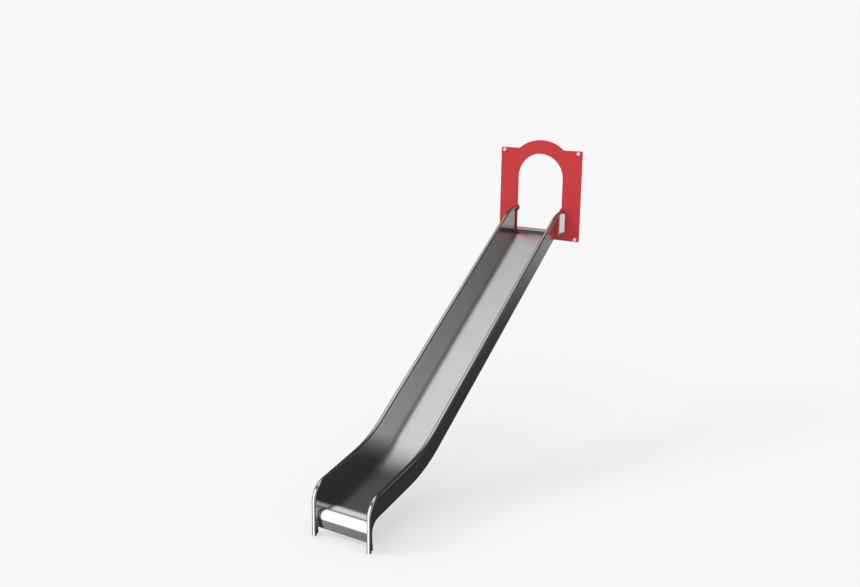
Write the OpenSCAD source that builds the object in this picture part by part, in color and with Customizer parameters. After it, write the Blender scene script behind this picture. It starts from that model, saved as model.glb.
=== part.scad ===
// Straight stainless steel slide with its entry panel.
// The slide runs down towards -Y, X is across it, and Z = 0 is the ground under its legs.

/* [Chute] */
// Height of the deck, and of the lip of the bed, above the ground
deck_height = 2000; // [1200:1:2400]
// Slope of the straight bed, in degrees
slope = 31.16; // [26:0.01:38]
// Horizontal reach of the straight bed, from the panel to the start of the exit bend
bend_reach = 2613; // [1500:1:2800]
// Level length of bed next to the panel
start_flat = 63; // [30:1:90]
// Radius over which the bed turns down into the slope
start_radius = 300; // [240:1:400]
// Radius of the exit bend, on the bed's surface
bend_radius = 1307; // [1000:1:1600]
// Slope of the exit length, in degrees
exit_slope = 8.8; // [4:0.1:12]
// Level distance from the end of the bend to the nose
exit_run = 494; // [400:1:650]
// Thickness of the bed and side sheets
sheet_t = 2.5; // [2:0.1:4]
// Depth of the side sheet's skirt below the bed's surface
skirt = 11; // [6:0.5:20]

/* [Nose] */
// Outer radius of the rounded nose
nose_radius = 110; // [80:1:140]
// How far the nose's apron leans back under it, in degrees
apron_lean = 8; // [2:1:15]
// Height of the flat apron below the nose's curve
apron_drop = 80; // [60:1:96]
// Height of the hem folded flat behind the apron's lower edge
apron_hem = 12; // [8:1:20]

/* [Rails] */
// Distance between the centre lines of the two rails
rail_spacing = 538; // [440:1:560]
// Outer diameter of the rail tube
rail_d = 38; // [32:0.1:42]
// Wall of the rail tube
rail_wall = 2; // [1.5:0.1:3]
// Height of the rail's centre line above the bed, square to it
rail_height = 180; // [150:1:220]
// Radius over which the rail levels out towards the panel
ear_radius = 500; // [400:1:600]
// Radius of the bend from the rail into the leg
leg_radius = 150; // [120:1:180]
// Level distance from the nose's front to the leg's centre line
leg_ahead = 34; // [28:1:45]
// How far the side sheet's leg end spreads backwards at the ground
web_foot = 12; // [8:1:30]
// Height over which it spreads
web_foot_h = 90; // [60:1:110]
// Thickness of the closing plug's head at each tube end
plug_head = 3; // [2:0.5:5]
// Depth of the leg plug's spigot inside the tube
plug_spigot = 18; // [10:1:30]

/* [Ribs] */
// Number of cross ribs under the straight bed
rib_count = 5; // [3:1:7]
// Width of a rib's channel along the bed
rib_w = 40; // [30:1:60]
// Depth of a rib's channel
rib_depth = 10; // [8:0.5:14]
// Thickness of a rib's sheet
rib_t = 2; // [1.5:0.1:3]
// Distance from a rib's end to the side sheet
rib_inset = 20; // [15:1:40]
// Width of the strap under the seam between the straight and the exit length
strap_w = 60; // [40:1:80]

/* [Top flange] */
// Thickness of the flange plate that the chute ends in
flange_t = 4; // [3:0.5:6]
// Width of the flange outside the side sheets
flange_side = 28; // [24:1:36]
// Depth of the flange below the bed
flange_drop = 45; // [35:1:60]
// Corner radius of the flange
flange_corner = 18; // [8:1:22]
// Diameter of the welded studs
stud_d = 10; // [8:0.5:12]
// Height of the lower side studs above the bed
stud_low = 40; // [30:1:60]
// Height of the upper side studs above the bed
stud_high = 150; // [110:1:165]
// Half the distance between the two studs under the bed
stud_half_pitch = 150; // [100:1:200]
// Thickness of the stud washers
washer_t = 2; // [1:0.5:3]
// Width of a cap nut across its flats
nut_af = 17; // [15:0.5:19]
// Height of a cap nut's hexagon
nut_h = 9; // [7:0.5:12]

/* [Entry panel] */
// Width of the panel between the posts
panel_w = 914; // [860:1:1000]
// Thickness of the panel
panel_t = 19; // [13:0.5:22]
// Depth of the panel below the deck
panel_drop = 96; // [80:1:120]
// Height of the panel's shoulders above the deck
panel_rise = 856; // [760:1:900]
// Radius of the arch over the doorway
arch_radius = 374; // [350:1:420]
// Height of the arch's top above the shoulders
arch_rise = 94; // [70:1:110]
// Width of the doorway
door_w = 510; // [420:1:520]
// Height of the doorway's sill above the bed
sill_rise = 2; // [0:0.5:5]
// Radius of the panel's outer corners
panel_corner = 8; // [0:1:20]
// Height of the doorway's round top above the deck
door_h = 806; // [740:1:850]
// Radius of the round guards behind the rail ends
guard_radius = 40; // [32:1:48]
// How far a guard reaches into the doorway
guard_reach = 22; // [10:1:30]
// Diameter of the panel bolts
bolt_d = 10; // [8:0.5:12]
// Distance from the panel's side edge to its bolts
bolt_side = 39; // [30:1:60]
// Distance from the panel's top and bottom edges to its bolts
bolt_edge = 25; // [22:1:40]
// Length of bolt that stands out behind the panel
bolt_reach = 26; // [15:1:40]
// Outer diameter of a bolt's cap
cap_d = 36; // [32:1:40]
// Height of a bolt's cap
cap_h = 13; // [12.5:0.5:18]

/* [Hidden] */
$fn = 64;
// Degrees of arc between two points of a sheet's outline
step = 1.5;
// Clearance around a bolt or stud in its hole
hole_gap = 0.5;
// Clearance of a plug in its tube, of a nut on its stud and of a washer in its cap
fit_gap = 0.2;
// Gap for the weld under the rails, and between the bed and its ribs
weld_gap = 0.1;
// Gap between a straight length of rail and the bend welded to it
tube_gap = 0.05;
// Loss of a panel bolt's diameter to the middle of its thread, and length of plain shank behind the panel
thread_loss = 1;
shank_past = 1;
// Thickness of a panel bolt's washer, and the height and width across flats of its head
bolt_washer_t = 3;
bolt_head_h = 6.4;
bolt_head_af = 16;
// Wall of a bolt's cap
cap_wall = 2.5;
// Length of stud inside its cap nut, and the nut's closed end over it
stud_grip = 13;
nut_blind = 2;
// Foot of a rib that lies flat on the bed's underside
rib_foot = 9;
// Depth of the top plug's spigot, short enough for the curve of the rail
top_spigot = 8;

steel = [0.78, 0.79, 0.8];
dark_steel = [0.62, 0.63, 0.65];
red = [0.75, 0.12, 0.13];
white = [0.93, 0.93, 0.93];

bed_w = rail_spacing - sheet_t;
rail_r = rail_d / 2;
// Level distance at which the line of the slope meets the height of the deck
knee = start_flat + start_radius * tan(slope / 2);
// Unit vectors, as [outwards, up], square to the slope and to the exit length
up_slope = [sin(slope), cos(slope)];
up_exit = [sin(exit_slope), cos(exit_slope)];
bend_start = [bend_reach, deck_height - (bend_reach - knee) * tan(slope)];
bend_centre = bend_start + bend_radius * up_slope;
bend_end = bend_centre - bend_radius * up_exit;
nose_start = bend_end + exit_run * [1, -tan(exit_slope)];
nose_centre = nose_start - nose_radius * up_exit;
leg_out = nose_centre[0] + nose_radius + leg_ahead;
// Rail: the ear's curve is level at the plug and meets the slope at ear_join
ear_out = plug_head + ear_radius * sin(slope);
ear_join = [ear_out, deck_height + rail_height / cos(slope) - (ear_out - knee) * tan(slope)];
ear_centre = ear_join - ear_radius * up_slope;
rail_top_z = ear_centre[1] + ear_radius;
// Rail: the exit line runs from rail_bend_end to the leg's curve
rail_bend_end = bend_end + rail_height * up_exit;
leg_join_out = leg_out - leg_radius + leg_radius * sin(exit_slope);
leg_join = [leg_join_out,
    rail_bend_end[1] - (leg_join_out - rail_bend_end[0]) * tan(exit_slope)];
leg_centre = leg_join - leg_radius * up_exit;
// Distance from the rail's centre line to the edge of the sheet under it
edge_r = rail_r + weld_gap;
// Distance from the bed's surface to the ribs and the strap welded under it
under = sheet_t + weld_gap;
// Rear edge of the side sheet's leg end
web_back = nose_centre[0] + nose_radius - skirt;

flange_half_w = rail_spacing / 2 + sheet_t / 2 + flange_side;
stud_x = rail_spacing / 2 + sheet_t / 2 + flange_side / 2;
stud_len = panel_t + washer_t + stud_grip;
bolt_x = panel_w / 2 - bolt_side;
bolt_end = panel_t + bolt_reach;
door_r = door_w / 2;
// Shift that puts the origin at the middle of the object's length
mid_y = (leg_out + rail_r - bolt_end) / 2;

STUDS = [
    for (s = [-1, 1]) each [
        [s * stud_x, deck_height + stud_low],
        [s * stud_x, deck_height + stud_high],
        [s * stud_half_pitch, deck_height - flange_drop / 2]
    ]
];
BOLTS = [
    for (s = [-1, 1]) each [
        [s * bolt_x, deck_height - panel_drop + bolt_edge],
        [s * bolt_x, deck_height + panel_rise - bolt_edge]
    ]
];

// Points [outwards, up] on a circle, where the angle is the slope of the curve there
function arc(centre, r, from, to) =
    let (n = max(2, ceil(abs(to - from) / step)))
    [for (i = [0 : n]) let (a = from + (to - from) * i / n) centre + r * [sin(a), cos(a)]];

function reversed(list) = [for (i = [len(list) - 1 : -1 : 0]) list[i]];

// The straight bed's line at height h over the bed, from the flange to the seam
function bed_line(h) = concat(
    [[flange_t, deck_height + h]],
    arc([start_flat, deck_height - start_radius], start_radius + h, 0, slope),
    [bend_start + h * up_slope]
);

// The exit bed's line at height h over the bed, from the seam to the nose
function exit_line(h) = concat(
    arc(bend_centre, h - bend_radius, slope, exit_slope),
    [nose_start + h * up_exit]
);

// Moves the slide's own frame so that its middle is over the origin
module placed() {
    translate([0, mid_y, 0]) children();
}

// A sheet cut to an outline of [outwards, up] points, centred on x and w wide
module side_cut(x, w, outline) {
    translate([x - w / 2, 0, 0])
        rotate([90, 0, 90])
            linear_extrude(w)
                polygon([for (p = outline) [-p[0], p[1]]]);
}

// Puts children that point along +Z at a point of the panel, pointing backwards
module at_panel(p) {
    translate([p[0], 0, p[1]]) rotate([-90, 0, 0]) children();
}

// Straight tube between two [outwards, up] points in the plane x, less a weld gap at each end
module tube_run(x, p, q) {
    d = q - p;
    h = norm(d) - 2 * tube_gap;
    translate([x, -p[0], p[1]])
        rotate([90, 0, 90])
            rotate([0, 0, atan2(d[1], -d[0])])
                rotate([0, 90, 0])
                    translate([0, 0, tube_gap])
                        difference() {
                            cylinder(r = rail_r, h = h);
                            translate([0, 0, -1]) cylinder(r = rail_r - rail_wall, h = h + 2);
                        }
}

// Curved tube about a centre in the plane x, from the angle a through da
module tube_bend(x, centre, r, a, da) {
    translate([x, -centre[0], centre[1]])
        rotate([90, 0, 90])
            rotate([0, 0, a])
                rotate_extrude(angle = da)
                    translate([r, 0])
                        difference() {
                            circle(r = rail_r);
                            circle(r = rail_r - rail_wall);
                        }
}

module rail(x) {
    color(steel) placed() {
        tube_bend(x, ear_centre, ear_radius, 90, slope);
        tube_run(x, ear_join, bend_start + rail_height * up_slope);
        tube_bend(x, bend_centre, bend_radius - rail_height, exit_slope - 90,
            slope - exit_slope);
        tube_run(x, rail_bend_end, leg_join);
        tube_bend(x, leg_centre, leg_radius, 90 + exit_slope, 90 - exit_slope);
        tube_run(x, [leg_out, leg_centre[1]], [leg_out, plug_head]);
    }
}

// Side sheet beside the straight bed, from the flange to the seam
module side_sheet(x) {
    r = ear_radius - edge_r;
    color(steel) placed()
        side_cut(x, sheet_t, concat(
            arc(ear_centre, r, asin((flange_t - plug_head) / r), slope),
            [bend_start + (rail_height - edge_r) * up_slope],
            reversed(bed_line(-skirt))
        ));
}

// Side sheet beside the exit, which runs down as the web of the leg
module exit_sheet(x) {
    color(steel) placed()
        side_cut(x, sheet_t, concat(
            arc(bend_centre, rail_height - edge_r - bend_radius, slope, exit_slope),
            arc(leg_centre, leg_radius - edge_r, exit_slope, 90),
            [
                [leg_out - edge_r, 0],
                [web_back - web_foot, 0],
                [web_back, web_foot_h]
            ],
            arc(nose_centre, nose_radius - skirt, 90, exit_slope),
            arc(bend_centre, -skirt - bend_radius, exit_slope, slope)
        ));
}

module slide_bed() {
    color(steel) placed()
        side_cut(0, bed_w, concat(bed_line(0), reversed(bed_line(-sheet_t))));
}

module exit_bed() {
    color(steel) placed()
        side_cut(0, bed_w, concat(exit_line(0), reversed(exit_line(-sheet_t))));
}

// Rounded front of the bed and the apron under it, with a hem folded flat behind
module exit_nose() {
    turn = 90 + apron_lean;
    down = [-sin(apron_lean), -cos(apron_lean)];
    out = [cos(apron_lean), -sin(apron_lean)];
    foot = nose_centre + nose_radius * out + apron_drop / cos(apron_lean) * down;
    color(steel) placed()
        side_cut(0, bed_w, concat(
            arc(nose_centre, nose_radius, exit_slope, turn),
            [
                foot,
                foot - 2 * sheet_t * out,
                foot - 2 * sheet_t * out - apron_hem * down,
                foot - sheet_t * out - apron_hem * down
            ],
            arc(nose_centre, nose_radius - sheet_t, turn, exit_slope)
        ));
}

// Hat-shaped rib under the bed at a point of its underside, where the slope is s
module rib(p, s) {
    k = rib_w / 2 - rib_foot;
    hat = [
        [-rib_w / 2, 0], [-rib_w / 2, rib_t], [-k, rib_t], [-k, rib_depth],
        [k, rib_depth], [k, rib_t], [rib_w / 2, rib_t], [rib_w / 2, 0],
        [k - rib_t, 0], [k - rib_t, rib_depth - rib_t],
        [rib_t - k, rib_depth - rib_t], [rib_t - k, 0]
    ];
    side_cut(0, bed_w - 2 * rib_inset,
        [for (h = hat) p + h[0] * [cos(s), -sin(s)] - h[1] * [sin(s), cos(s)]]);
}

module bed_ribs() {
    reach = start_flat + start_radius * sin(slope) + rib_w;
    first = [reach, deck_height - (reach - knee) * tan(slope)];
    color(dark_steel) placed()
        for (i = [0 : rib_count - 1])
            rib(first + (bend_start - first) * (i + 0.5) / rib_count - under * up_slope, slope);
}

module exit_ribs() {
    color(dark_steel) placed()
        for (f = [0.25, 0.75])
            rib(bend_end + (nose_start - bend_end) * f - under * up_exit, exit_slope);
}

module seam_strap() {
    p = bend_start - under * up_slope;
    along = [cos(slope), -sin(slope)];
    color(dark_steel) placed()
        side_cut(0, bed_w - 2 * rib_inset, [
            p - strap_w / 2 * along,
            p + strap_w / 2 * along,
            p + strap_w / 2 * along - rib_t * up_slope,
            p - strap_w / 2 * along - rib_t * up_slope
        ]);
}

// Discs with spigots that close the rails where they meet the panel
module rail_top_plugs() {
    color(dark_steel) placed()
        for (s = [-1, 1])
            translate([s * rail_spacing / 2, 0, rail_top_z])
                rotate([90, 0, 0]) {
                    cylinder(r = rail_r, h = plug_head);
                    cylinder(r = rail_r - rail_wall - fit_gap, h = plug_head + top_spigot);
                }
}

// Discs with spigots that close the legs at the ground
module leg_plugs() {
    color(dark_steel) placed()
        for (s = [-1, 1])
            translate([s * rail_spacing / 2, -leg_out, 0]) {
                cylinder(r = rail_r, h = plug_head);
                cylinder(r = rail_r - rail_wall - fit_gap, h = plug_head + plug_spigot);
            }
}

// Plate that the chute's upper end is welded to, open over the bed
module top_flange() {
    low = deck_height - flange_drop;
    high = rail_top_z - edge_r;
    inner = bed_w / 2;
    c = flange_corner;
    color(steel) placed()
        rotate([90, 0, 0])
            linear_extrude(flange_t)
                difference() {
                    union() {
                        translate([-flange_half_w, low + c])
                            square([2 * flange_half_w, high - low - 2 * c]);
                        translate([c - flange_half_w, low])
                            square([2 * (flange_half_w - c), high - low]);
                        for (s = [-1, 1], z = [low + c, high - c])
                            translate([s * (flange_half_w - c), z]) circle(r = c);
                    }
                    translate([-inner, deck_height]) square([2 * inner, high - low]);
                }
}

module flange_studs() {
    color(dark_steel) placed()
        for (p = STUDS) at_panel(p) cylinder(d = stud_d, h = stud_len);
}

module flange_washers() {
    color(dark_steel) placed()
        for (p = STUDS) at_panel(p)
            translate([0, 0, panel_t])
                difference() {
                    cylinder(r = stud_d, h = washer_t);
                    translate([0, 0, -1]) cylinder(r = stud_d / 2 + fit_gap, h = washer_t + 2);
                }
}

module flange_cap_nuts() {
    dome = nut_af * 0.46;
    rise = stud_grip + nut_blind - nut_h;
    color(steel) placed()
        for (p = STUDS) at_panel(p)
            translate([0, 0, panel_t + washer_t])
                difference() {
                    union() {
                        cylinder(d = nut_af / cos(30), h = nut_h, $fn = 6);
                        translate([0, 0, nut_h])
                            rotate_extrude()
                                polygon(concat([[0, 0]], [
                                    for (a = [0 : 15 : 90]) [dome * cos(a), rise * sin(a)]
                                ]));
                    }
                    translate([0, 0, -1]) cylinder(r = stud_d / 2 + fit_gap, h = stud_grip + 1);
                }
}

// Panel with the doorway, its sill level with the bed and a guard behind each rail end
module entry_panel() {
    low = deck_height - panel_drop;
    shoulder = deck_height + panel_rise;
    sill = deck_height + sill_rise;
    door_z = deck_height + door_h - door_r;
    arch_z = shoulder + arch_rise - arch_radius;
    guard_x = door_r - guard_reach + guard_radius;
    c = panel_corner;
    color(red) placed()
        difference() {
            translate([0, panel_t, 0])
                rotate([90, 0, 0])
                    linear_extrude(panel_t) {
                        difference() {
                            union() {
                                translate([-panel_w / 2, low + c])
                                    square([panel_w, shoulder - low - 2 * c]);
                                translate([c - panel_w / 2, low])
                                    square([panel_w - 2 * c, shoulder - low]);
                                for (s = [-1, 1], z = [low + c, shoulder - c])
                                    translate([s * (panel_w / 2 - c), z]) circle(r = c);
                                translate([0, arch_z]) circle(r = arch_radius, $fn = 180);
                            }
                            translate([-door_r, sill]) square([door_w, door_z - sill]);
                            translate([0, door_z]) circle(r = door_r, $fn = 180);
                        }
                        for (s = [-1, 1])
                            translate([s * guard_x, rail_top_z]) circle(r = guard_radius);
                    }
            for (p = STUDS) at_panel(p)
                translate([0, 0, -1]) cylinder(r = stud_d / 2 + hole_gap, h = panel_t + 2);
            for (p = BOLTS) at_panel(p)
                translate([0, 0, -1]) cylinder(r = bolt_d / 2 + hole_gap, h = panel_t + 2);
        }
}

module panel_bolts() {
    color(dark_steel) placed()
        for (p = BOLTS) at_panel(p) {
            translate([0, 0, -bolt_washer_t])
                cylinder(d = bolt_d, h = bolt_washer_t + panel_t + shank_past);
            cylinder(d = bolt_d - thread_loss, h = bolt_end);
            translate([0, 0, -bolt_washer_t - bolt_head_h])
                cylinder(d = bolt_head_af / cos(30), h = bolt_head_h, $fn = 6);
        }
}

module panel_bolt_washers() {
    color(white) placed()
        for (p = BOLTS) at_panel(p)
            translate([0, 0, -bolt_washer_t])
                difference() {
                    cylinder(r = cap_d / 2 - cap_wall - fit_gap, h = bolt_washer_t);
                    translate([0, 0, -1])
                        cylinder(r = bolt_d / 2 + fit_gap, h = bolt_washer_t + 2);
                }
}

module panel_bolt_caps() {
    r = cap_d / 2;
    k = cap_wall + 1.5;
    color(white) placed()
        for (p = BOLTS) at_panel(p)
            rotate([180, 0, 0])
                difference() {
                    rotate_extrude()
                        polygon(concat(
                            [[0, 0], [r, 0]],
                            [for (a = [0 : 15 : 90]) [r - k + k * cos(a), cap_h - k + k * sin(a)]],
                            [[0, cap_h]]
                        ));
                    translate([0, 0, -1]) cylinder(r = r - cap_wall, h = cap_h - cap_wall + 1);
                }
}

entry_panel();
panel_bolts();
panel_bolt_washers();
panel_bolt_caps();
top_flange();
flange_studs();
flange_washers();
flange_cap_nuts();
slide_bed();
exit_bed();
exit_nose();
side_sheet(-rail_spacing / 2);  // left_side_sheet
side_sheet(rail_spacing / 2);  // right_side_sheet
exit_sheet(-rail_spacing / 2);  // left_exit_sheet
exit_sheet(rail_spacing / 2);  // right_exit_sheet
rail(-rail_spacing / 2);  // left_rail
rail(rail_spacing / 2);  // right_rail
rail_top_plugs();
leg_plugs();
bed_ribs();
exit_ribs();
seam_strap();
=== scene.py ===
"""Finished look of the straight slide: sheets, rails, panel, their finishes, studio and camera.

Everything is in metres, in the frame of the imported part: +Y runs from the slide's exit back to
its entry panel, +X across it, and +Z up.
"""

from __future__ import annotations

import logging
import math
from dataclasses import dataclass
from enum import Enum
from typing import Any, Sequence

import bmesh
import bpy
import numpy as np
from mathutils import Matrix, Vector

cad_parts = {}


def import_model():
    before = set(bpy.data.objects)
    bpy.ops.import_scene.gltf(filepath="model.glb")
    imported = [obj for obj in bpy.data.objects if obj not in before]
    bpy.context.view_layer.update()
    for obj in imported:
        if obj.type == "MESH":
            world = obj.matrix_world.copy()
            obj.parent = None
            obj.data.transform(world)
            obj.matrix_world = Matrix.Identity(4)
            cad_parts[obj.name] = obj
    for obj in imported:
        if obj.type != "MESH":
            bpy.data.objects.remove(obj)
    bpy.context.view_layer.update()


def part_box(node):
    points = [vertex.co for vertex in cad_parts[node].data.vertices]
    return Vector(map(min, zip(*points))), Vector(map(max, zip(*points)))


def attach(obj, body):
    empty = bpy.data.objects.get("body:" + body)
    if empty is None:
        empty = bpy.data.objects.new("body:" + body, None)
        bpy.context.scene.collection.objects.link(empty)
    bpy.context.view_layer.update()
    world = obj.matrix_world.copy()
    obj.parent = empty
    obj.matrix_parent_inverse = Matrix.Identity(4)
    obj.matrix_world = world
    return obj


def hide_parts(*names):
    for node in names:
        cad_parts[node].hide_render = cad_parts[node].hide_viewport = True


LOG = logging.getLogger("slide")
BODY = "root"


# ---------------------------------------------------------------- shader maths


class Signal:
    """A shader socket that can be added, multiplied and so on."""

    def __init__(self, bench: Bench, socket: bpy.types.NodeSocket) -> None:
        """Wraps one output socket of a node on the bench."""
        self.bench = bench
        self.socket = socket

    def _math(self, operation: str, first: Any, second: Any) -> Signal:
        """One Math node on two values."""
        return self.bench.node("ShaderNodeMath", {"operation": operation}, {0: first, 1: second})

    def __add__(self, other: Any) -> Signal:
        """Sum."""
        return self._math("ADD", self, other)

    def __radd__(self, other: Any) -> Signal:
        """Sum, with the number first."""
        return self._math("ADD", other, self)

    def __sub__(self, other: Any) -> Signal:
        """Difference."""
        return self._math("SUBTRACT", self, other)

    def __mul__(self, other: Any) -> Signal:
        """Product."""
        return self._math("MULTIPLY", self, other)

    def within(self, low: float, high: float, to_low: float = 0.0, to_high: float = 1.0) -> Signal:
        """Eases from to_low at low to to_high at high.

        Args:
            low: value at which the ramp starts.
            high: value at which the ramp ends.
            to_low: result below the ramp.
            to_high: result above the ramp.

        Returns:
            The eased signal.
        """
        return self.bench.node(
            "ShaderNodeMapRange",
            {"interpolation_type": "SMOOTHSTEP"},
            {"Value": self, "From Min": low, "From Max": high, "To Min": to_low, "To Max": to_high},
            output="Result",
        )


class Bench:
    """A node tree with one method that adds any node."""

    def __init__(self, tree: bpy.types.NodeTree) -> None:
        """Clears the tree and works on it."""
        self.tree = tree
        tree.nodes.clear()

    def node(
        self,
        kind: str,
        settings: dict[str, Any] | None = None,
        inputs: dict[int | str, Any] | None = None,
        output: int | str = 0,
    ) -> Signal:
        """Adds a node.

        Args:
            kind: the node's type name.
            settings: properties to set first. "stops" sets a colour ramp's (place, colour) pairs.
            inputs: value or Signal for each input socket, by name or number.
            output: name or number of the output socket to hand back.

        Returns:
            The chosen output, or a Signal with no socket for a node that has no output.
        """
        made = self.tree.nodes.new(kind)
        for name, value in (settings or {}).items():
            if name == "stops":
                self._set_stops(made.color_ramp, value)
            else:
                setattr(made, name, value)
        for key, value in (inputs or {}).items():
            socket = made.inputs[key]
            if isinstance(value, Signal):
                self.tree.links.new(value.socket, socket)
            else:
                socket.default_value = value
        return Signal(self, made.outputs[output] if made.outputs else None)

    @staticmethod
    def _set_stops(ramp: bpy.types.ColorRamp, stops: Sequence[tuple[float, tuple]]) -> None:
        """Gives a colour ramp exactly these stops."""
        while len(ramp.elements) > 1:
            ramp.elements.remove(ramp.elements[-1])
        for index, (place, colour) in enumerate(stops):
            stop = ramp.elements[0] if index == 0 else ramp.elements.new(place)
            stop.position = place
            stop.color = colour

    def axes(self, vector: Signal) -> tuple[Signal, Signal, Signal]:
        """Splits a vector into its three parts."""
        made = self.tree.nodes.new("ShaderNodeSeparateXYZ")
        self.tree.links.new(vector.socket, made.inputs[0])
        return tuple(Signal(self, made.outputs[i]) for i in range(3))

    def join(self, x: Any, y: Any, z: Any) -> Signal:
        """Makes a vector of three values."""
        return self.node("ShaderNodeCombineXYZ", inputs={0: x, 1: y, 2: z})

    def place(self) -> tuple[Signal, Signal, Signal]:
        """The surface point's own coordinates, in metres."""
        made = self.tree.nodes.new("ShaderNodeTexCoord")
        return self.axes(Signal(self, made.outputs["Object"]))

    def noise(
        self, vector: Signal, scale: float, detail: float = 2.0, rough: float = 0.5
    ) -> Signal:
        """Soft random value from 0 to 1 at a vector."""
        return self.node(
            "ShaderNodeTexNoise",
            inputs={"Vector": vector, "Scale": scale, "Detail": detail, "Roughness": rough},
            output="Fac",
        )

    def blend(self, share: Any, first: tuple, second: tuple) -> Signal:
        """Mixes two colours by a share from 0 to 1."""
        made = self.tree.nodes.new("ShaderNodeMix")
        made.data_type = "RGBA"
        for index, value in ((0, share), (6, first), (7, second)):
            socket = made.inputs[index]
            if isinstance(value, Signal):
                self.tree.links.new(value.socket, socket)
            else:
                socket.default_value = value
        return Signal(self, made.outputs[2])

    def bump(self, height: Signal, distance: float, strength: float = 1.0) -> Signal:
        """Surface normal tilted by a height of 0 to 1 that stands for a depth in metres."""
        return self.node(
            "ShaderNodeBump",
            inputs={"Height": height, "Distance": distance, "Strength": strength},
            output="Normal",
        )

    def surface(self, sockets: dict[str, Any]) -> None:
        """Ends the tree in a Principled surface with these socket values."""
        shader = self.node("ShaderNodeBsdfPrincipled", inputs=sockets)
        self.node("ShaderNodeOutputMaterial", inputs={"Surface": shader})


# ------------------------------------------------------------------- finishes


@dataclass(frozen=True)
class Finish:
    """A named finish that builds its own material."""

    name: str

    def dress(self, bench: Bench) -> None:
        """Fills the material's node tree."""
        raise NotImplementedError

    def material(self) -> bpy.types.Material:
        """The finish's material, made once."""
        found = bpy.data.materials.get(self.name)
        if found is None:
            found = bpy.data.materials.new(self.name)
            found.use_nodes = True
            self.dress(Bench(found.node_tree))
        return found


@dataclass(frozen=True)
class BrushedSteel(Finish):
    """Bright stainless steel with fine brush lines that run down the slide.

    Attributes:
        grey: reflected colour of clean metal.
        gloss_loss: roughness of clean metal.
        lay: slope in degrees that the brush lines follow.
        line_pitch: distance between brush lines.
        line_depth: depth of the brush lines.
        wave_depth: depth of the sheet's slow waves.
    """

    grey: tuple[float, float, float] = (0.60, 0.602, 0.598)
    gloss_loss: float = 0.19
    lay: float = 31.16
    line_pitch: float = 0.0016
    line_depth: float = 0.0000015
    wave_depth: float = 0.00006

    def dress(self, bench: Bench) -> None:
        """Brush lines, slow waves, faint handling marks and a few long rubbed streaks."""
        x, y, z = bench.place()
        tilt = math.radians(self.lay)
        across = z * math.cos(tilt) - y * math.sin(tilt)
        along = z * math.sin(tilt) + y * math.cos(tilt)
        strands = bench.join(x * (1 / self.line_pitch), along * 9, across * (1 / self.line_pitch))
        lines = bench.noise(strands, 1.0, 3.0, 0.6)
        streaks = bench.noise(bench.join(x * 34, along * 0.9, across * 34), 1.0, 2.0)
        cloud = bench.noise(bench.join(x, y, z), 4.5, 4.0, 0.62)
        marks = bench.noise(bench.join(x, y, z), 26.0, 5.0, 0.7).within(0.56, 0.74)
        waves = bench.noise(bench.join(x * 2.2, along * 1.1, across * 2.2), 1.0, 1.0)
        tone = (streaks.within(0.3, 0.7) * 0.5 + cloud.within(0.35, 0.7) * 0.5) * 0.8 + marks * 0.2
        dark = tuple(c * 0.96 for c in self.grey) + (1,)
        light = tuple(min(c * 1.03, 1) for c in self.grey) + (1,)
        rough = self.gloss_loss + (lines - 0.5) * 0.04 + (cloud - 0.5) * 0.03 + marks * 0.02
        fine = bench.bump(lines, self.line_depth)
        slow = bench.node(
            "ShaderNodeBump",
            inputs={"Height": waves, "Distance": self.wave_depth, "Strength": 1.0, "Normal": fine},
            output="Normal",
        )
        bench.surface(
            {
                "Base Color": bench.blend(tone, light, dark),
                "Roughness": rough,
                "Metallic": 1.0,
                "Normal": slow,
            }
        )


@dataclass(frozen=True)
class WeldedSteel(Finish):
    """Ground weld metal: duller than the sheet, with small ripples and a faint straw tint."""

    ripple: float = 0.0025

    def dress(self, bench: Bench) -> None:
        """Ripples across the bead and a tint that comes and goes."""
        x, y, z = bench.place()
        point = bench.join(x, y, z)
        tint = bench.noise(point, 9.0, 3.0).within(0.4, 0.7)
        beads = bench.noise(point, 1 / self.ripple, 2.0)
        bench.surface(
            {
                "Base Color": bench.blend(tint, (0.56, 0.55, 0.54, 1), (0.47, 0.45, 0.42, 1)),
                "Roughness": 0.26 + beads * 0.12,
                "Metallic": 1.0,
                "Normal": bench.bump(beads, 0.0002),
            }
        )


@dataclass(frozen=True)
class ZincSteel(Finish):
    """Satin fasteners: fine grain with slightly cloudy colour."""

    grey: tuple[float, float, float] = (0.52, 0.53, 0.54)

    def dress(self, bench: Bench) -> None:
        """Cloudy tone and a fine rolled grain."""
        point = bench.join(*bench.place())
        cloud = bench.noise(point, 130.0, 4.0)
        grain = bench.noise(point, 1900.0, 2.0)
        dark = tuple(c * 0.8 for c in self.grey) + (1,)
        bench.surface(
            {
                "Base Color": bench.blend(cloud, self.grey + (1,), dark),
                "Roughness": 0.3 + cloud * 0.16,
                "Metallic": 1.0,
                "Normal": bench.bump(grain, 0.00003),
            }
        )


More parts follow.
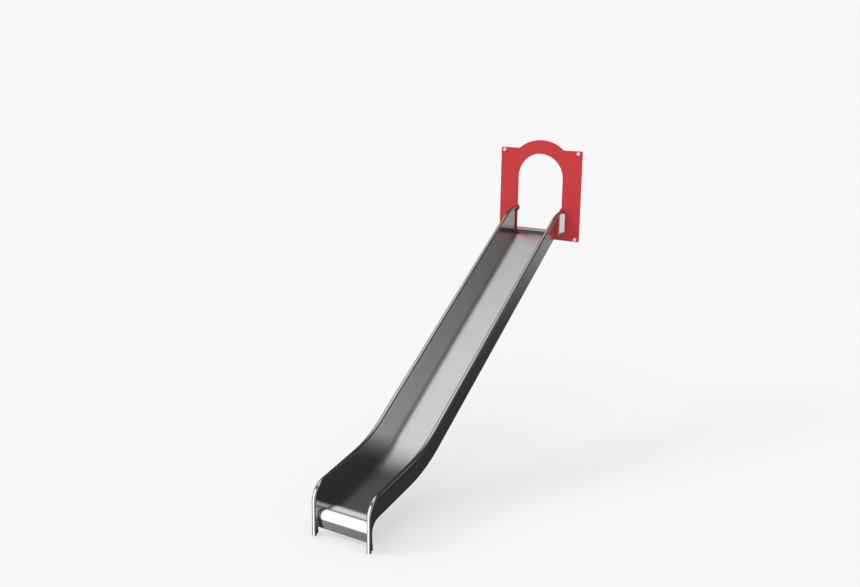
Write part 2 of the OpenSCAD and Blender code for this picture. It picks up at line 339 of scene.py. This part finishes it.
@dataclass(frozen=True)
class PanelBoard(Finish):
    """Solid-coloured outdoor board: a fine leathery grain, rubbed a little paler here and there.

    Attributes:
        colour: main colour.
        worn: colour of the rubbed places.
        grain_size: size of the moulded grain.
        grain_depth: depth of the moulded grain.
    """

    colour: tuple[float, float, float] = (0.61, 0.041, 0.047)
    worn: tuple[float, float, float] = (0.61, 0.053, 0.060)
    grain_size: float = 0.0012
    grain_depth: float = 0.00006

    def dress(self, bench: Bench) -> None:
        """Moulded grain, cloudy rubbing and faint fine scratches."""
        x, y, z = bench.place()
        point = bench.join(x, y, z)
        grain = bench.noise(point, 1 / self.grain_size, 3.0, 0.55)
        cloud = bench.noise(point, 5.0, 4.0, 0.6).within(0.38, 0.72)
        slant = bench.join(x * 3 + z * 1.2, y * 3, z * 160 - x * 60)
        scratch = bench.noise(slant, 1.0, 1.0).within(0.72, 0.78)
        share = cloud * 0.6 + scratch * 0.35
        bench.surface(
            {
                "Base Color": bench.blend(share, self.colour + (1,), self.worn + (1,)),
                "Roughness": 0.46 + (grain - 0.5) * 0.1 + cloud * 0.04,
                "Specular IOR Level": 0.22,
                "Normal": bench.bump(grain, self.grain_depth),
            }
        )


@dataclass(frozen=True)
class MouldedPlastic(Finish):
    """Semi-gloss moulded plastic with faint flow clouds and dust-dulled patches."""

    colour: tuple[float, float, float] = (0.84, 0.84, 0.83)

    def dress(self, bench: Bench) -> None:
        """Flow clouds and an almost smooth skin."""
        point = bench.join(*bench.place())
        cloud = bench.noise(point, 60.0, 3.0)
        skin = bench.noise(point, 900.0, 2.0)
        dull = tuple(c * 0.93 for c in self.colour) + (1,)
        bench.surface(
            {
                "Base Color": bench.blend(cloud.within(0.35, 0.75), self.colour + (1,), dull),
                "Roughness": 0.28 + cloud * 0.12,
                "Normal": bench.bump(skin, 0.00002),
            }
        )


@dataclass(frozen=True)
class StudioFloor(Finish):
    """Plain pale floor of a lit sweep.

    Attributes:
        tone: reflected share of the light that falls on it.
        glow: light that comes through it.
    """

    tone: float = 0.38
    glow: float = 0.53

    def dress(self, bench: Bench) -> None:
        """A matt, even tone with the faintest mottling."""
        cloud = bench.noise(bench.join(*bench.place()), 0.7, 2.0)
        pale = (self.tone, self.tone, self.tone, 1)
        near = (self.tone * 0.995, self.tone * 0.995, self.tone * 0.995, 1)
        bench.surface(
            {
                "Base Color": bench.blend(cloud, pale, near),
                "Roughness": 0.9,
                "Specular IOR Level": 0.0,
                "Emission Color": (1, 1, 1, 1),
                "Emission Strength": self.glow,
            }
        )


class Finishes(Enum):
    """Every finish of the slide, and the floor's."""

    CHUTE = BrushedSteel("chute_steel")
    EXIT = BrushedSteel("exit_steel", lay=8.8)
    RAIL = BrushedSteel("rail_steel", gloss_loss=0.13, wave_depth=0.0, line_pitch=0.0012)
    INNER = BrushedSteel("inner_steel", grey=(0.5, 0.5, 0.51), gloss_loss=0.3)
    WELD = WeldedSteel("weld_steel")
    ZINC = ZincSteel("satin_fasteners")
    BOARD = PanelBoard("red_board")
    CAP = MouldedPlastic("white_caps")
    FLOOR = StudioFloor("studio_floor")


class Slot(Enum):
    """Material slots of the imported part."""

    SHEET = "steel_sheet"
    TUBE = "steel_tube"
    INNER = "inner_steel"
    ZINC = "zinc_steel"
    BOARD = "red_panel"
    PLASTIC = "white_plastic"


# ------------------------------------------------------------------- geometry


@dataclass(frozen=True)
class Course:
    """A line down the slide, as stations.

    Attributes:
        out: distance of each station in front of the entry panel.
        up: height of each station.
        turn: slope at each station, in radians below level.
    """

    out: np.ndarray
    up: np.ndarray
    turn: np.ndarray

    @staticmethod
    def straight(start: np.ndarray, end: np.ndarray, turn: float, count: int = 2) -> Course:
        """Evenly spaced stations from one point to another."""
        share = np.linspace(0, 1, count)
        return Course(
            start[0] + (end[0] - start[0]) * share,
            start[1] + (end[1] - start[1]) * share,
            np.full(count, turn),
        )

    @staticmethod
    def arc(centre: np.ndarray, radius: float, start: float, end: float) -> Course:
        """Stations on a circle every half degree: centre + radius * (sin turn, cos turn)."""
        count = max(3, int(abs(end - start) / math.radians(0.5)) + 1)
        turn = np.linspace(start, end, count)
        return Course(centre[0] + radius * np.sin(turn), centre[1] + radius * np.cos(turn), turn)

    def then(self, *others: Course) -> Course:
        """This course and others after it, without the stations that two of them share."""
        parts = [self, *others]
        out, up, turn = (
            np.concatenate([getattr(part, name) for part in parts])
            for name in ("out", "up", "turn")
        )
        keep = np.append(True, np.hypot(np.diff(out), np.diff(up)) > 1e-6)
        return Course(out[keep], up[keep], turn[keep])

    def raised(self, height: float) -> Course:
        """The course moved square to itself by a height."""
        return Course(
            self.out + height * np.sin(self.turn), self.up + height * np.cos(self.turn), self.turn
        )


@dataclass(frozen=True)
class SlideLines:
    """Sizes of the slide and the lines that its sheets and rails follow.

    A point is [distance in front of the panel, height]. The bed is level at the panel, bends
    down to the slope, runs straight to the exit bend, then along the exit to the rounded nose.
    """

    deck_height: float = 2.0
    slope: float = math.radians(31.16)
    bend_reach: float = 2.613
    start_flat: float = 0.063
    start_radius: float = 0.300
    bend_radius: float = 1.307
    exit_slope: float = math.radians(8.8)
    exit_run: float = 0.494
    nose_radius: float = 0.110
    apron_lean: float = math.radians(8)
    apron_drop: float = 0.080
    rail_height: float = 0.180
    ear_radius: float = 0.500
    leg_radius: float = 0.150
    leg_ahead: float = 0.034
    rail_radius: float = 0.019
    plug_head: float = 0.003
    flange_t: float = 0.004
    sheet_t: float = 0.0025
    rail_spacing: float = 0.538

    @staticmethod
    def square_to(turn: float) -> np.ndarray:
        """Unit vector square to a line that slopes by turn."""
        return np.array([math.sin(turn), math.cos(turn)])

    @property
    def knee(self) -> float:
        """Distance at which the slope's line meets the deck's height."""
        return self.start_flat + self.start_radius * math.tan(self.slope / 2)

    @property
    def bend_start(self) -> np.ndarray:
        """End of the straight bed."""
        drop = (self.bend_reach - self.knee) * math.tan(self.slope)
        return np.array([self.bend_reach, self.deck_height - drop])

    @property
    def bend_centre(self) -> np.ndarray:
        """Centre of the exit bend."""
        return self.bend_start + self.bend_radius * self.square_to(self.slope)

    @property
    def bend_end(self) -> np.ndarray:
        """End of the exit bend."""
        return self.bend_centre - self.bend_radius * self.square_to(self.exit_slope)

    @property
    def nose_start(self) -> np.ndarray:
        """Start of the rounded nose."""
        return self.bend_end + self.exit_run * np.array([1, -math.tan(self.exit_slope)])

    @property
    def nose_centre(self) -> np.ndarray:
        """Centre of the rounded nose."""
        return self.nose_start - self.nose_radius * self.square_to(self.exit_slope)

    @property
    def leg_out(self) -> float:
        """Distance of the legs in front of the panel."""
        return self.nose_centre[0] + self.nose_radius + self.leg_ahead

    @property
    def ear_join(self) -> np.ndarray:
        """Where the rail's upper curve meets its slope."""
        out = self.plug_head + self.ear_radius * math.sin(self.slope)
        rise = self.rail_height / math.cos(self.slope) - (out - self.knee) * math.tan(self.slope)
        return np.array([out, self.deck_height + rise])

    @property
    def ear_centre(self) -> np.ndarray:
        """Centre of the rail's upper curve."""
        return self.ear_join - self.ear_radius * self.square_to(self.slope)

    def bed(self) -> Course:
        """Surface of the straight bed, from the flange to the seam."""
        top = np.array([self.start_flat, self.deck_height])
        first = np.array([self.flange_t, self.deck_height])
        bend = Course.arc(top - [0, self.start_radius], self.start_radius, 0, self.slope)
        end = np.array([bend.out[-1], bend.up[-1]])
        return Course.straight(first, top, 0).then(
            bend, Course.straight(end, self.bend_start, self.slope, 12)
        )

    def exit(self) -> Course:
        """Surface of the exit bed, from the seam to the nose."""
        return Course.arc(self.bend_centre, -self.bend_radius, self.slope, self.exit_slope).then(
            Course.straight(self.bend_end, self.nose_start, self.exit_slope, 6)
        )

    def nose(self) -> Course:
        """Surface of the nose and the apron under it."""
        turn = math.pi / 2 + self.apron_lean
        curve = Course.arc(self.nose_centre, self.nose_radius, self.exit_slope, turn)
        start = np.array([curve.out[-1], curve.up[-1]])
        return curve.then(Course.straight(start, start + self.apron_step(self.apron_drop), turn))

    def apron_step(self, drop: float) -> np.ndarray:
        """Step down the apron that loses a given height."""
        return drop * np.array([-math.tan(self.apron_lean), -1])

    def rail(self) -> Course:
        """Centre line of a rail, from the panel down to the foot of its leg."""
        up_exit = self.square_to(self.exit_slope)
        bend_r = self.bend_radius - self.rail_height
        exit_end = self.bend_end + self.rail_height * up_exit
        leg_x = self.leg_out - self.leg_radius
        join_x = leg_x + self.leg_radius * math.sin(self.exit_slope)
        join = np.array([join_x, exit_end[1] - (join_x - exit_end[0]) * math.tan(self.exit_slope)])
        leg_centre = join - self.leg_radius * up_exit
        slope_end = self.bend_start + self.rail_height * self.square_to(self.slope)
        return Course.arc(self.ear_centre, self.ear_radius, 0, self.slope).then(
            Course.straight(self.ear_join, slope_end, self.slope, 12),
            Course.arc(self.bend_centre, -bend_r, self.slope, self.exit_slope),
            Course.straight(exit_end, join, self.exit_slope, 4),
            Course.arc(leg_centre, self.leg_radius, self.exit_slope, math.pi / 2),
            Course.straight(
                np.array([self.leg_out, leg_centre[1]]),
                np.array([self.leg_out, self.plug_head]),
                math.pi / 2,
                3,
            ),
        )


class Maker:
    """Turns arrays of points into finished pieces of the slide."""

    def __init__(self, panel_front: float) -> None:
        """Keeps the place of the panel's front face along the row's Y axis."""
        self.panel_front = panel_front

    @staticmethod
    def piece(
        name: str, points: np.ndarray, faces: list[tuple[int, ...]], finish: Finishes, slot: Slot
    ) -> bpy.types.Object:
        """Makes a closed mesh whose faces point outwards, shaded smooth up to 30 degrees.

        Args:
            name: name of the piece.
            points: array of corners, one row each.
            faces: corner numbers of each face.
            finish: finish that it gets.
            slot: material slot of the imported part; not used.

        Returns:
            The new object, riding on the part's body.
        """
        mesh = bpy.data.meshes.new(name)
        mesh.from_pydata(points, [], faces)
        shell = bmesh.new()
        shell.from_mesh(mesh)
        bmesh.ops.remove_doubles(shell, verts=shell.verts, dist=1e-6)
        bmesh.ops.recalc_face_normals(shell, faces=shell.faces)
        if shell.calc_volume(signed=True) < 0:
            bmesh.ops.reverse_faces(shell, faces=shell.faces)
        shell.to_mesh(mesh)
        shell.free()
        mesh.shade_smooth()
        mesh.set_sharp_from_angle(angle=math.radians(30))
        return Maker.settle(bpy.data.objects.new(name, mesh), finish, slot)

    @staticmethod
    def settle(made: bpy.types.Object, finish: Finishes, slot: Slot) -> bpy.types.Object:
        """Puts a finished mesh in the scene, dresses it and lets it ride on the part."""
        bpy.context.scene.collection.objects.link(made)
        made.data.materials.clear()
        made.data.materials.append(finish.value.material())
        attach(made, BODY)
        LOG.info("%s: %d faces", made.name, len(made.data.polygons))
        return made

    def swept(
        self, course: Course, across: np.ndarray, raised: np.ndarray
    ) -> tuple[np.ndarray, list]:
        """Carries a closed outline along a course.

        A corner of the outline at (a, h) goes to X = a, and to h square to the course at each
        station: Y = panel front - (out + h sin turn), Z = up + h cos turn.

        Args:
            course: stations to follow.
            across: X of each corner of the outline.
            raised: height of each corner over the course.

        Returns:
            The points and the faces, with both ends closed.
        """
        rings, sides = len(course.out), len(across)
        sin, cos = np.sin(course.turn)[:, None], np.cos(course.turn)[:, None]
        points = np.empty((rings, sides, 3))
        points[:, :, 0] = across
        points[:, :, 1] = self.panel_front - (course.out[:, None] + raised * sin)
        points[:, :, 2] = course.up[:, None] + raised * cos
        index = np.arange(rings * sides).reshape(rings, sides)
        after = np.roll(index, -1, axis=1)
        quads = np.stack([index[:-1], after[:-1], after[1:], index[1:]], axis=-1).reshape(-1, 4)
        ends = [tuple(index[0][::-1].tolist()), tuple(index[-1].tolist())]
        return points.reshape(-1, 3), [tuple(q) for q in quads.tolist()] + ends

    def sheet(
        self, course: Course, low: float, high: float, top: float, bottom: float
    ) -> tuple[np.ndarray, list]:
        """Sweeps a flat strip, from X low to high and from bottom to top over the course."""
        across = np.array([low, high, high, low])
        return self.swept(course, across, np.array([bottom, bottom, top, top]))

    def rod(self, course: Course, x: float, radius: float, sides: int) -> tuple[np.ndarray, list]:
        """Sweeps a circle: X = x + radius cos angle, height = radius sin angle."""
        angle = np.linspace(0, 2 * math.pi, sides, endpoint=False)
        return self.swept(course, x + radius * np.cos(angle), radius * np.sin(angle))

    @staticmethod
    def turned(
        profile: np.ndarray, centre: Sequence[float], sides: int = 48
    ) -> tuple[np.ndarray, list]:
        """Turns a profile of [radius, distance towards the exit] about a line along Y.

        Each profile point goes to X = centre + r cos angle, Z = centre + r sin angle.
        The first and last profile points lie on the line, so the shell is closed.
        """
        angle = np.linspace(0, 2 * math.pi, sides, endpoint=False)
        radius, reach = profile[:, 0][:, None], profile[:, 1][:, None]
        points = np.empty((len(profile), sides, 3))
        points[:, :, 0] = centre[0] + radius * np.cos(angle)
        points[:, :, 1] = centre[1] - reach
        points[:, :, 2] = centre[2] + radius * np.sin(angle)
        index = np.arange(len(profile) * sides).reshape(len(profile), sides)
        after = np.roll(index, -1, axis=1)
        quads = np.stack([index[:-1], after[:-1], after[1:], index[1:]], axis=-1).reshape(-1, 4)
        return points.reshape(-1, 3), [tuple(q) for q in quads.tolist()]

    @staticmethod
    def merged(*parts: tuple[np.ndarray, list]) -> tuple[np.ndarray, list]:
        """Puts several point and face lists into one."""
        points, faces, first = [], [], 0
        for part_points, part_faces in parts:
            points.append(part_points)
            faces += [tuple(i + first for i in face) for face in part_faces]
            first += len(part_points)
        return np.concatenate(points), faces

    @staticmethod
    def eased(
        node: str, name: str, width: float, finish: Finishes, slot: Slot, segments: int = 2
    ) -> bpy.types.Object:
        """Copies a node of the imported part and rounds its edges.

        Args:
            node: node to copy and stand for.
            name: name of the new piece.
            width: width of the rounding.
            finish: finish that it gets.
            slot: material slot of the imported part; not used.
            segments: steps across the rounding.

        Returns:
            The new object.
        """
        mesh = bpy.data.objects[node].data.copy()
        mesh.name = name
        shell = bmesh.new()
        shell.from_mesh(mesh)
        bmesh.ops.remove_doubles(shell, verts=shell.verts, dist=2e-6)
        bmesh.ops.dissolve_limit(
            shell, angle_limit=math.radians(0.2), verts=shell.verts, edges=shell.edges
        )
        shell.to_mesh(mesh)
        shell.free()
        mesh.shade_smooth()
        mesh.set_sharp_from_angle(angle=math.radians(30))
        made = Maker.settle(bpy.data.objects.new(name, mesh), finish, slot)
        bevel = made.modifiers.new("eased_edges", "BEVEL")
        bevel.width = width
        bevel.segments = segments
        bevel.limit_method = "ANGLE"
        bevel.angle_limit = math.radians(40)
        bevel.harden_normals = True
        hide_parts(node)
        return made


# --------------------------------------------------------------- sub-assemblies


@dataclass
class Chute:
    """The bed, its side sheets, the welds between them and the ribs under it.

    Attributes:
        maker: what turns lines into meshes.
        lines: lines of the slide.
        fillet: radius of the weld in the corner between bed and side sheet.
        hem: height of the hem behind the apron's lower edge.
        edge_round: rounding of the side sheets' cut edges.
        rib_round: rounding of the ribs' edges.
        seam_width: width of the ground weld across the side sheets at the seam.
        seam_proud: how far that weld stands out.
        seam_sunk: how far it reaches into the sheet.
        seam_short: distance that it keeps from the rail.
        seam_lift: distance that it keeps from the sheet's lower edge.
        skirt: depth of the side sheets below the bed.
    """

    maker: Maker
    lines: SlideLines
    fillet: float = 0.0016
    hem: float = 0.012
    edge_round: float = 0.0007
    rib_round: float = 0.0004
    seam_width: float = 0.0035
    seam_proud: float = 0.0004
    seam_sunk: float = 0.0005
    seam_short: float = 0.0015
    seam_lift: float = 0.001
    skirt: float = 0.011

    @property
    def half(self) -> float:
        """Half of the bed's width."""
        return (self.lines.rail_spacing - self.lines.sheet_t) / 2

    def build_beds(self) -> None:
        """Straight bed, exit bed and nose, each one smooth sheet."""
        t = self.lines.sheet_t
        for node, course, finish in (
            ("slide_bed", self.lines.bed(), Finishes.CHUTE),
            ("exit_bed", self.lines.exit(), Finishes.EXIT),
        ):
            shell = self.maker.sheet(course, -self.half, self.half, 0, -t)
            made = self.maker.piece(f"{node}_sheet", *shell, finish, Slot.SHEET)
            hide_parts(node)
        nose = self.lines.nose()
        foot = np.array([nose.out[-1], nose.up[-1]])
        hem = Course.straight(foot - self.lines.apron_step(self.hem), foot, nose.turn[-1])
        shell = self.maker.merged(
            self.maker.sheet(nose, -self.half, self.half, 0, -t),
            self.maker.sheet(hem, -self.half, self.half, -t, -2 * t),
        )
        made = self.maker.piece("exit_nose_sheet", *shell, Finishes.EXIT, Slot.SHEET)
        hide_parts("exit_nose")

    def build_sides(self) -> None:
        """Side sheets with their cut edges rounded."""
        for side in ("left", "right"):
            for part, finish in (("side", Finishes.CHUTE), ("exit", Finishes.EXIT)):
                node = f"{side}_{part}_sheet"
                self.maker.eased(node, f"{node}_plate", self.edge_round, finish, Slot.SHEET)

    def build_corner_welds(self) -> None:
        """Concave fillets in the chute's corners: centre (r, r), from the side sheet to the bed."""
        angle = np.linspace(math.pi, 1.5 * math.pi, 7)
        inward = np.concatenate([[0], self.fillet * (1 + np.cos(angle))])
        raised = np.concatenate([[0], self.fillet * (1 + np.sin(angle))])
        course = self.lines.bed().then(self.lines.exit(), self.lines.nose())
        for side, sign in (("left", -1), ("right", 1)):
            shell = self.maker.swept(course, sign * (self.half - inward), raised)
            self.maker.piece(f"{side}_corner_weld", *shell, Finishes.CHUTE, Slot.SHEET)

    def build_seams(self) -> None:
        """Ground welds across the side sheets' outside, where straight and exit lengths meet."""
        lines = self.lines
        along = np.array([math.cos(lines.slope), -math.sin(lines.slope)])
        centre = lines.bend_start
        course = Course.straight(
            centre - along * self.seam_width / 2, centre + along * self.seam_width / 2, lines.slope
        )
        top = lines.rail_height - lines.rail_radius - self.seam_short
        bottom = -self.skirt + self.seam_lift
        face = self.half + lines.sheet_t
        for side, sign in (("left", -1), ("right", 1)):
            outer, inner = sign * (face + self.seam_proud), sign * (face - self.seam_sunk)
            shell = self.maker.sheet(course, min(outer, inner), max(outer, inner), top, bottom)
            self.maker.piece(f"{side}_seam_weld", *shell, Finishes.WELD, Slot.SHEET)

    def build_ribs(self) -> None:
        """Ribs and strap under the bed."""
        for node in ("bed_ribs", "exit_ribs", "seam_strap"):
            self.maker.eased(node, f"{node}_formed", self.rib_round, Finishes.INNER, Slot.INNER)

    def build(self) -> None:
        """Builds the whole chute."""
        self.build_beds()
        self.build_sides()
        self.build_corner_welds()
        self.build_seams()
        self.build_ribs()


@dataclass
class Rails:
    """Both rails with their legs, plugs and the welds that hold the side sheets.

    Attributes:
        maker: what turns lines into meshes.
        lines: lines of the slide.
        sides: faces around a rail.
        bead: radius of the weld bead on each side of the sheet under a rail.
        plug_round: rounding of the plugs' edges.
    """

    maker: Maker
    lines: SlideLines
    sides: int = 56
    bead: float = 0.0016
    plug_round: float = 0.0006

    def build(self) -> None:
        """One smooth tube a side, with two beads under it and a plug at each end."""
        course, half = self.lines.rail(), self.lines.rail_spacing / 2
        low = course.raised(-self.lines.rail_radius - self.bead * 0.2)
        beside = self.lines.sheet_t / 2 + self.bead * 0.35
        for side, sign in (("left", -1), ("right", 1)):
            x = sign * half
            tube = self.maker.rod(course, x, self.lines.rail_radius, self.sides)
            made = self.maker.piece(f"{side}_rail_tube", *tube, Finishes.RAIL, Slot.TUBE)
            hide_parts(f"{side}_rail")
            beads = self.maker.merged(
                *(self.maker.rod(low, x + way * beside, self.bead, 10) for way in (-1, 1))
            )
            self.maker.piece(f"{side}_rail_weld", *beads, Finishes.WELD, Slot.TUBE)
        for node in ("rail_top_plugs", "leg_plugs"):
            self.maker.eased(node, f"{node}_turned", self.plug_round, Finishes.RAIL, Slot.TUBE)


@dataclass
class Entry:
    """The entry panel with its bolts and caps, and the flange that the chute hangs on.

    Attributes:
        maker: what turns lines into meshes.
        cap_radius: outer radius of a bolt's cap.
        cap_height: height of a bolt's cap.
        cap_groove: depth of the groove between a cap's ring and its lid.
        board_round: rounding of the panel's routed edges.
        flange_round: rounding of the flange's cut edges.
        small_round: rounding of the fasteners' and washers' edges.
    """

    maker: Maker
    cap_radius: float = 0.018
    cap_height: float = 0.013
    cap_groove: float = 0.0006
    board_round: float = 0.0022
    flange_round: float = 0.0008
    small_round: float = 0.0004

    def cap_centres(self) -> list[tuple[float, float]]:
        """X and Z of the four caps, which lie in the corners of their nodes' box."""
        low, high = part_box("panel_bolt_caps")
        r = self.cap_radius
        return [(x, z) for x in (low.x + r, high.x - r) for z in (low.z + r, high.z - r)]

    def cap_profile(self) -> np.ndarray:
        """Half outline of a cap: a ring, a groove, and a lid with a rounded rim and a low crown."""
        r, h, g = self.cap_radius, self.cap_height, self.cap_groove
        ring, rim = h * 0.34, h * 0.46
        bend = np.linspace(0, math.pi / 2, 9)
        side = [(0, 0), (r - 0.0004, 0), (r, 0.0004), (r, ring - 0.0003), (r - 0.0003, ring)]
        groove = [(r - g, ring + 0.0003), (r - g, ring + 0.0008), (r - 0.0003, ring + 0.0011)]
        lid = [(r - rim + rim * math.cos(a), h - rim + rim * math.sin(a) * 0.94) for a in bend]
        crown = [((r - rim) * s, h - rim * 0.06 * s * s) for s in (0.75, 0.5, 0.25, 0)]
        return np.array(side + groove + lid + crown)

    def build(self) -> None:
        """Panel, flange, fasteners and caps."""
        self.maker.eased(
            "entry_panel", "entry_panel_board", self.board_round, Finishes.BOARD, Slot.BOARD, 4
        )
        self.maker.eased(
            "top_flange", "top_flange_plate", self.flange_round, Finishes.CHUTE, Slot.SHEET
        )
        caps = [
            self.maker.turned(self.cap_profile(), (x, self.maker.panel_front, z))
            for x, z in self.cap_centres()
        ]
        shell = self.maker.merged(*caps)
        made = self.maker.piece("bolt_caps_moulded", *shell, Finishes.CAP, Slot.PLASTIC)
        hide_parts("panel_bolt_caps")
        for node in ("panel_bolts", "flange_studs", "flange_washers", "flange_cap_nuts"):
            self.maker.eased(node, f"{node}_turned", self.small_round, Finishes.ZINC, Slot.ZINC)
        node, name = "panel_bolt_washers", "bolt_washers_moulded"
        self.maker.eased(node, name, self.small_round, Finishes.CAP, Slot.PLASTIC)


@dataclass
class Studio:
    """Pale floor, soft light and the camera.

    Attributes:
        panel_front: place of the panel's front face along Y.
        backdrop: brightness that the camera sees behind the floor.
        ambient: even light from all sides on matt surfaces.
        overhead: brightness of the mirrored ceiling.
        softbox: brightness of the large mirrored light low in front.
        horizon: brightness of the pale mirrored band behind.
        flank: brightness of the mirrored lights at both sides.
        eye: camera's place, with its distance along Y counted from the panel's front.
        azimuth: turn of the camera about the object.
        elevation: tilt of the camera above the horizon.
        lens: focal length.
        floor_half: half of the floor's length and width.
        shift: sideways and upright shift of the picture.
    """

    panel_front: float
    backdrop: float = 0.93
    ambient: float = 0.46
    overhead: float = 0.93
    softbox: float = 1.8
    horizon: float = 0.5
    flank: float = 0.5
    eye: tuple[float, float, float] = (4.218, -9.694, 3.987)
    azimuth: float = math.radians(33.04)
    elevation: float = math.radians(12.40)
    lens: float = 41.40
    floor_half: float = 1500.0
    shift: tuple[float, float] = (0.0638, -0.0427)

    def build_camera(self) -> None:
        """Camera that looks down at the slide from its lower right."""
        camera = bpy.data.cameras.new("camera")
        camera.sensor_width = 36.0
        camera.lens = self.lens
        camera.shift_x, camera.shift_y = self.shift
        camera.clip_end = 4000.0
        holder = bpy.data.objects.new("camera", camera)
        holder.location = (self.eye[0], self.panel_front + self.eye[1], self.eye[2])
        look = Vector(
            (
                -math.sin(self.azimuth) * math.cos(self.elevation),
                math.cos(self.azimuth) * math.cos(self.elevation),
                -math.sin(self.elevation),
            )
        )
        holder.rotation_mode = "QUATERNION"
        holder.rotation_quaternion = look.to_track_quat("-Z", "Y")
        bpy.context.scene.collection.objects.link(holder)
        bpy.context.scene.camera = holder

    def build_floor(self) -> None:
        """Large floor that stays out of the metal's reflections, as in a light tent."""
        mesh = bpy.data.meshes.new("studio_floor")
        r = self.floor_half
        mesh.from_pydata([(-r, -r, 0), (r, -r, 0), (r, r, 0), (-r, r, 0)], [], [(0, 1, 2, 3)])
        mesh.materials.append(Finishes.FLOOR.value.material())
        floor = bpy.data.objects.new("studio_floor", mesh)
        bpy.context.scene.collection.objects.link(floor)
        floor.visible_glossy = False

    def build_lamps(self) -> None:
        """A soft key from the upper left and a broad one from overhead."""
        for name, towards, power, spread in (
            ("key_light", (1.5, 1.0, -1.3), 0.9, 20.0),
            ("overhead_light", (0.1, 0.15, -1.0), 1.4, 80.0),
        ):
            lamp = bpy.data.lights.new(name, "SUN")
            lamp.energy = power
            lamp.angle = math.radians(spread)
            holder = bpy.data.objects.new(name, lamp)
            holder.rotation_mode = "QUATERNION"
            holder.rotation_quaternion = Vector(towards).to_track_quat("-Z", "Y")
            holder.visible_glossy = False
            bpy.context.scene.collection.objects.link(holder)

    def build_surround(self) -> None:
        """Even light on matt surfaces, and a light tent that only metal and gloss mirror."""
        world = bpy.data.worlds.new("light_tent")
        bpy.context.scene.world = world
        world.use_nodes = True
        bench = Bench(world.node_tree)
        x, y, z = bench.axes(bench.node("ShaderNodeTexCoord", output="Generated"))
        seen = bench.node("ShaderNodeLightPath", output="Is Camera Ray")
        mirrored = bench.node("ShaderNodeLightPath", output="Is Glossy Ray")
        bounced = bench.node("ShaderNodeLightPath", output="Diffuse Depth")
        fading = (y + x * 0.22).within(-0.05, 0.48, self.overhead, 0.0)
        ceiling = z.within(0.58, 0.78) * y.within(-0.42, -0.28) * fading
        facing = y.within(-0.60, -0.42, self.softbox, 0.0)
        width = x.within(0.36, 0.54, 1.0, 0.22) * x.within(-0.74, -0.52, 0.4)
        front = facing * width * z.within(-0.64, -0.54) * z.within(0.66, 0.74, 1.0, 0.0)
        above_ground = z.within(-0.27, -0.15, 0.0, self.horizon)
        behind = above_ground * z.within(0.3, 0.5, 1.0, 0.0) * y.within(0.6, 0.85)
        dim = y.within(-0.6, 0.2, 0.12, 0.045)
        haze = z.within(0.45, 0.62) * x.within(-0.45, 0.0, 0.06, 0.0)
        sides = (x * x).within(0.72, 0.94, 0.0, self.flank)
        tent = ceiling + front + behind + dim + haze + sides
        first_mirror = mirrored * bounced.within(0, 1, 1, 0)
        kind, numbers = "ShaderNodeMix", {"data_type": "FLOAT"}
        light = bench.node(kind, numbers, {0: first_mirror, 2: self.ambient, 3: tent})
        strength = bench.node(kind, numbers, {0: seen, 2: light, 3: self.backdrop})
        surround = bench.node(
            "ShaderNodeBackground", inputs={"Color": (1, 1, 1, 1), "Strength": strength}
        )
        bench.node("ShaderNodeOutputWorld", inputs={"Surface": surround})

    def build(self) -> None:
        """Builds the studio."""
        bpy.context.scene.view_settings.view_transform = "Standard"
        self.build_camera()
        self.build_floor()
        self.build_lamps()
        self.build_surround()


def main() -> None:
    """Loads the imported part, then builds its sub-assemblies and the studio."""
    logging.basicConfig(level=logging.INFO, format="%(name)s %(message)s")
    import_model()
    panel_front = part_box("entry_panel")[0].y
    maker, lines = Maker(panel_front), SlideLines()
    Chute(maker, lines).build()
    Rails(maker, lines).build()
    Entry(maker).build()
    Studio(panel_front).build()
    bpy.context.view_layer.update()


if __name__ == "__main__":
    main()
